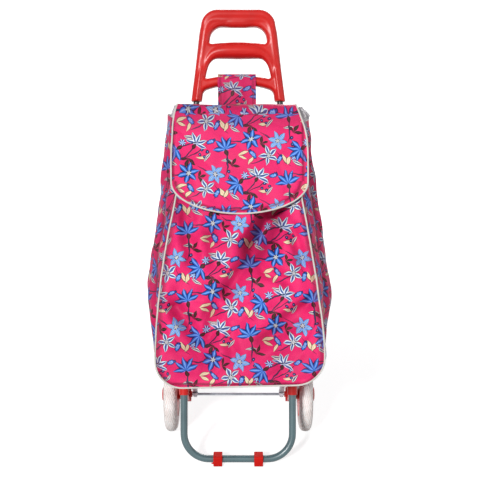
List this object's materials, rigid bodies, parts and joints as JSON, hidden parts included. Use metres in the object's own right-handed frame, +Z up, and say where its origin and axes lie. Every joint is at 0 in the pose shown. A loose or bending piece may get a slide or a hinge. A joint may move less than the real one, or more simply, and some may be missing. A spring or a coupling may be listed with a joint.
{
  "type": "two-wheeled shopping trolley",
  "caption": "Leaning two-wheeled shopping trolley: bent tube frame, moulded ladder handle, lined cloth bag with lift-up flap and piping, soft white tyres.",
  "frame": {"origin": "on the floor, in the middle of the plan", "axes": "+X across the trolley along the axle, +Y to the back, where the wheels and handle are, +Z up; the bag faces -Y"},
  "size_m": [0.356, 0.4567, 0.8861],
  "materials": {
    "tube_paint": "satin grey-blue paint",
    "dark_tube": "black",
    "red_plastic": "glossy red",
    "steel": "zinc plated",
    "printed_cloth": "satin polyester with a floral print",
    "lining": "coated, silvery grey",
    "piping": "smooth off-white",
    "tape": "hook and loop",
    "board": "matt",
    "tyre": "off-white soft foam rubber"
  },
  "bodies": {
    "trolley": {"frame_tube": "tube_paint", "cross_tube": "tube_paint", "handle": "red_plastic", "base_board": "board", "support_shelf": "steel", "axle_rod": "steel", "axle_washers": "steel", "axle_push_nuts": "steel", "bracket_screws": "steel", "handle_screws": "steel", "tube_rivets": "steel", "bag_front": "printed_cloth", "bag_back": "printed_cloth", "bag_side_left": "printed_cloth", "bag_side_right": "printed_cloth", "bag_base": "printed_cloth", "hang_strap": "printed_cloth", "bag_collar": "lining", "bag_piping": "piping", "closure_loop_patch": "tape", "handle_tube_left": "dark_tube", "axle_bracket_left": "red_plastic", "foot_pad_left": "red_plastic", "axle_tab_left": "lining", "handle_tube_right": "dark_tube", "axle_bracket_right": "red_plastic", "foot_pad_right": "red_plastic", "axle_tab_right": "lining"},
    "wheel_left": {"rim_left": "red_plastic", "tyre_left": "tyre", "hub_cap_left": "red_plastic"},
    "wheel_right": {"rim_right": "red_plastic", "tyre_right": "tyre", "hub_cap_right": "red_plastic"},
    "flap": {"flap_panel": "printed_cloth", "flap_piping": "piping", "closure_hook_patch": "tape"}
  },
  "joints": [
    {"name": "wheel_left_spin", "type": "hinge", "parent": "trolley", "child": "wheel_left", "pos_m": [-0.146, 0.05049, 0.08], "axis": [1, 0, 0], "continuous": true},
    {"name": "wheel_right_spin", "type": "hinge", "parent": "trolley", "child": "wheel_right", "pos_m": [0.146, 0.05049, 0.08], "axis": [1, 0, 0], "continuous": true},
    {"name": "flap_lift", "type": "hinge", "parent": "trolley", "child": "flap", "pos_m": [0, 0.12504, 0.68536], "axis": [-1, 0, 0], "range_deg": [0, 75]}
  ]
}
